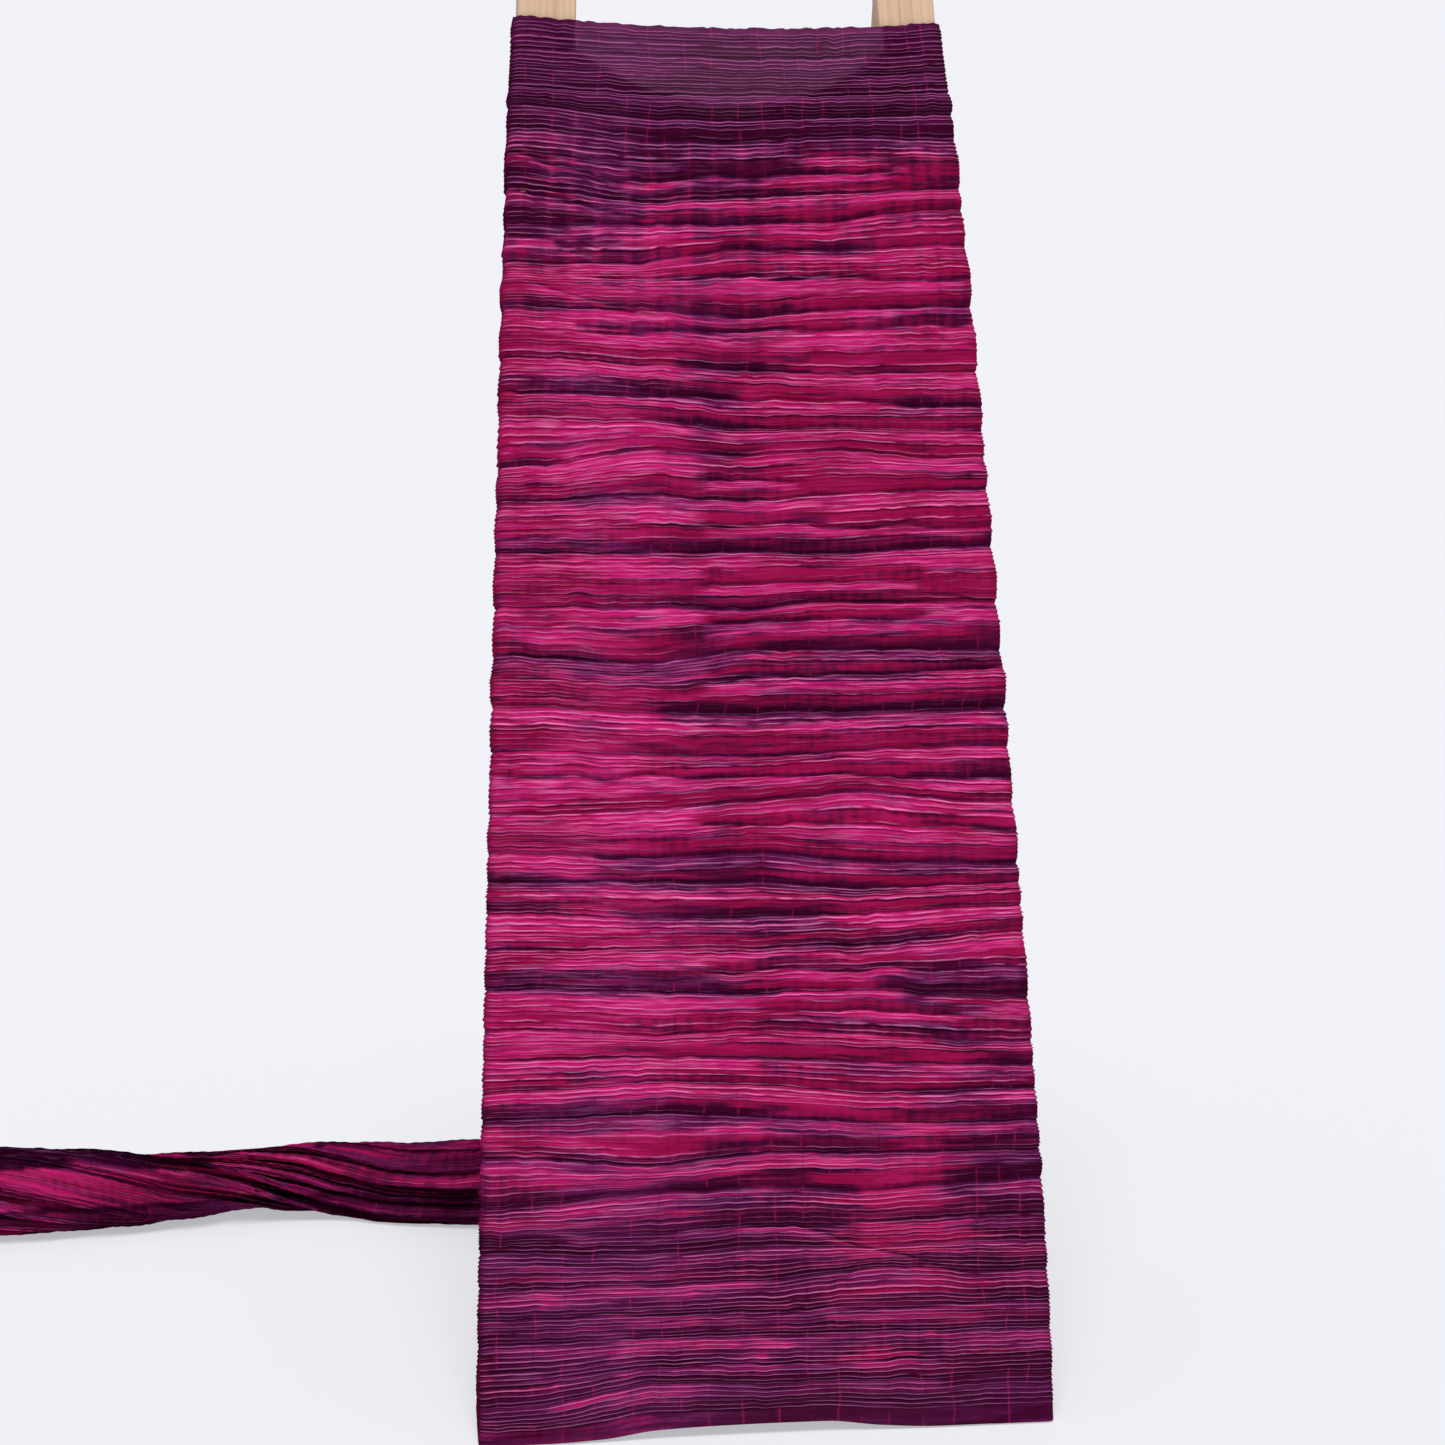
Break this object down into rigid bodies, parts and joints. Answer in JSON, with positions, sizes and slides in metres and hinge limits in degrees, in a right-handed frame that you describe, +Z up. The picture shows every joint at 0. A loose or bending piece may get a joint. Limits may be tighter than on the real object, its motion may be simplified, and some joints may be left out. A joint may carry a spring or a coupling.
{
  "type": "length of pleated bandhani silk cloth wrapped on a wooden a-frame stand",
  "caption": "Finely pleated tie-dyed silk stretched round the two rails of a plain wooden A-shaped stand, the rest of its length lying behind as a folded rope.",
  "frame": {"origin": "middle of the whole thing's box, on the floor", "axes": "+Z up, -Y out of the front of the panel, +X to the right of someone who faces it"},
  "size_m": [0.9506, 0.6498, 1.2143],
  "materials": {
    "silk": "soft silk sheen, fine sharp pleats, hot pink and crimson broken by plum bands",
    "wood": "planed pale softwood, unvarnished"
  },
  "bodies": {
    "root": {"cloth": "silk", "front_rail_left": "wood", "front_rail_right": "wood", "front_top_bar": "wood", "front_low_bar": "wood", "rear_leg_left": "wood", "rear_leg_right": "wood", "rear_low_bar": "wood"}
  },
  "joints": []
}
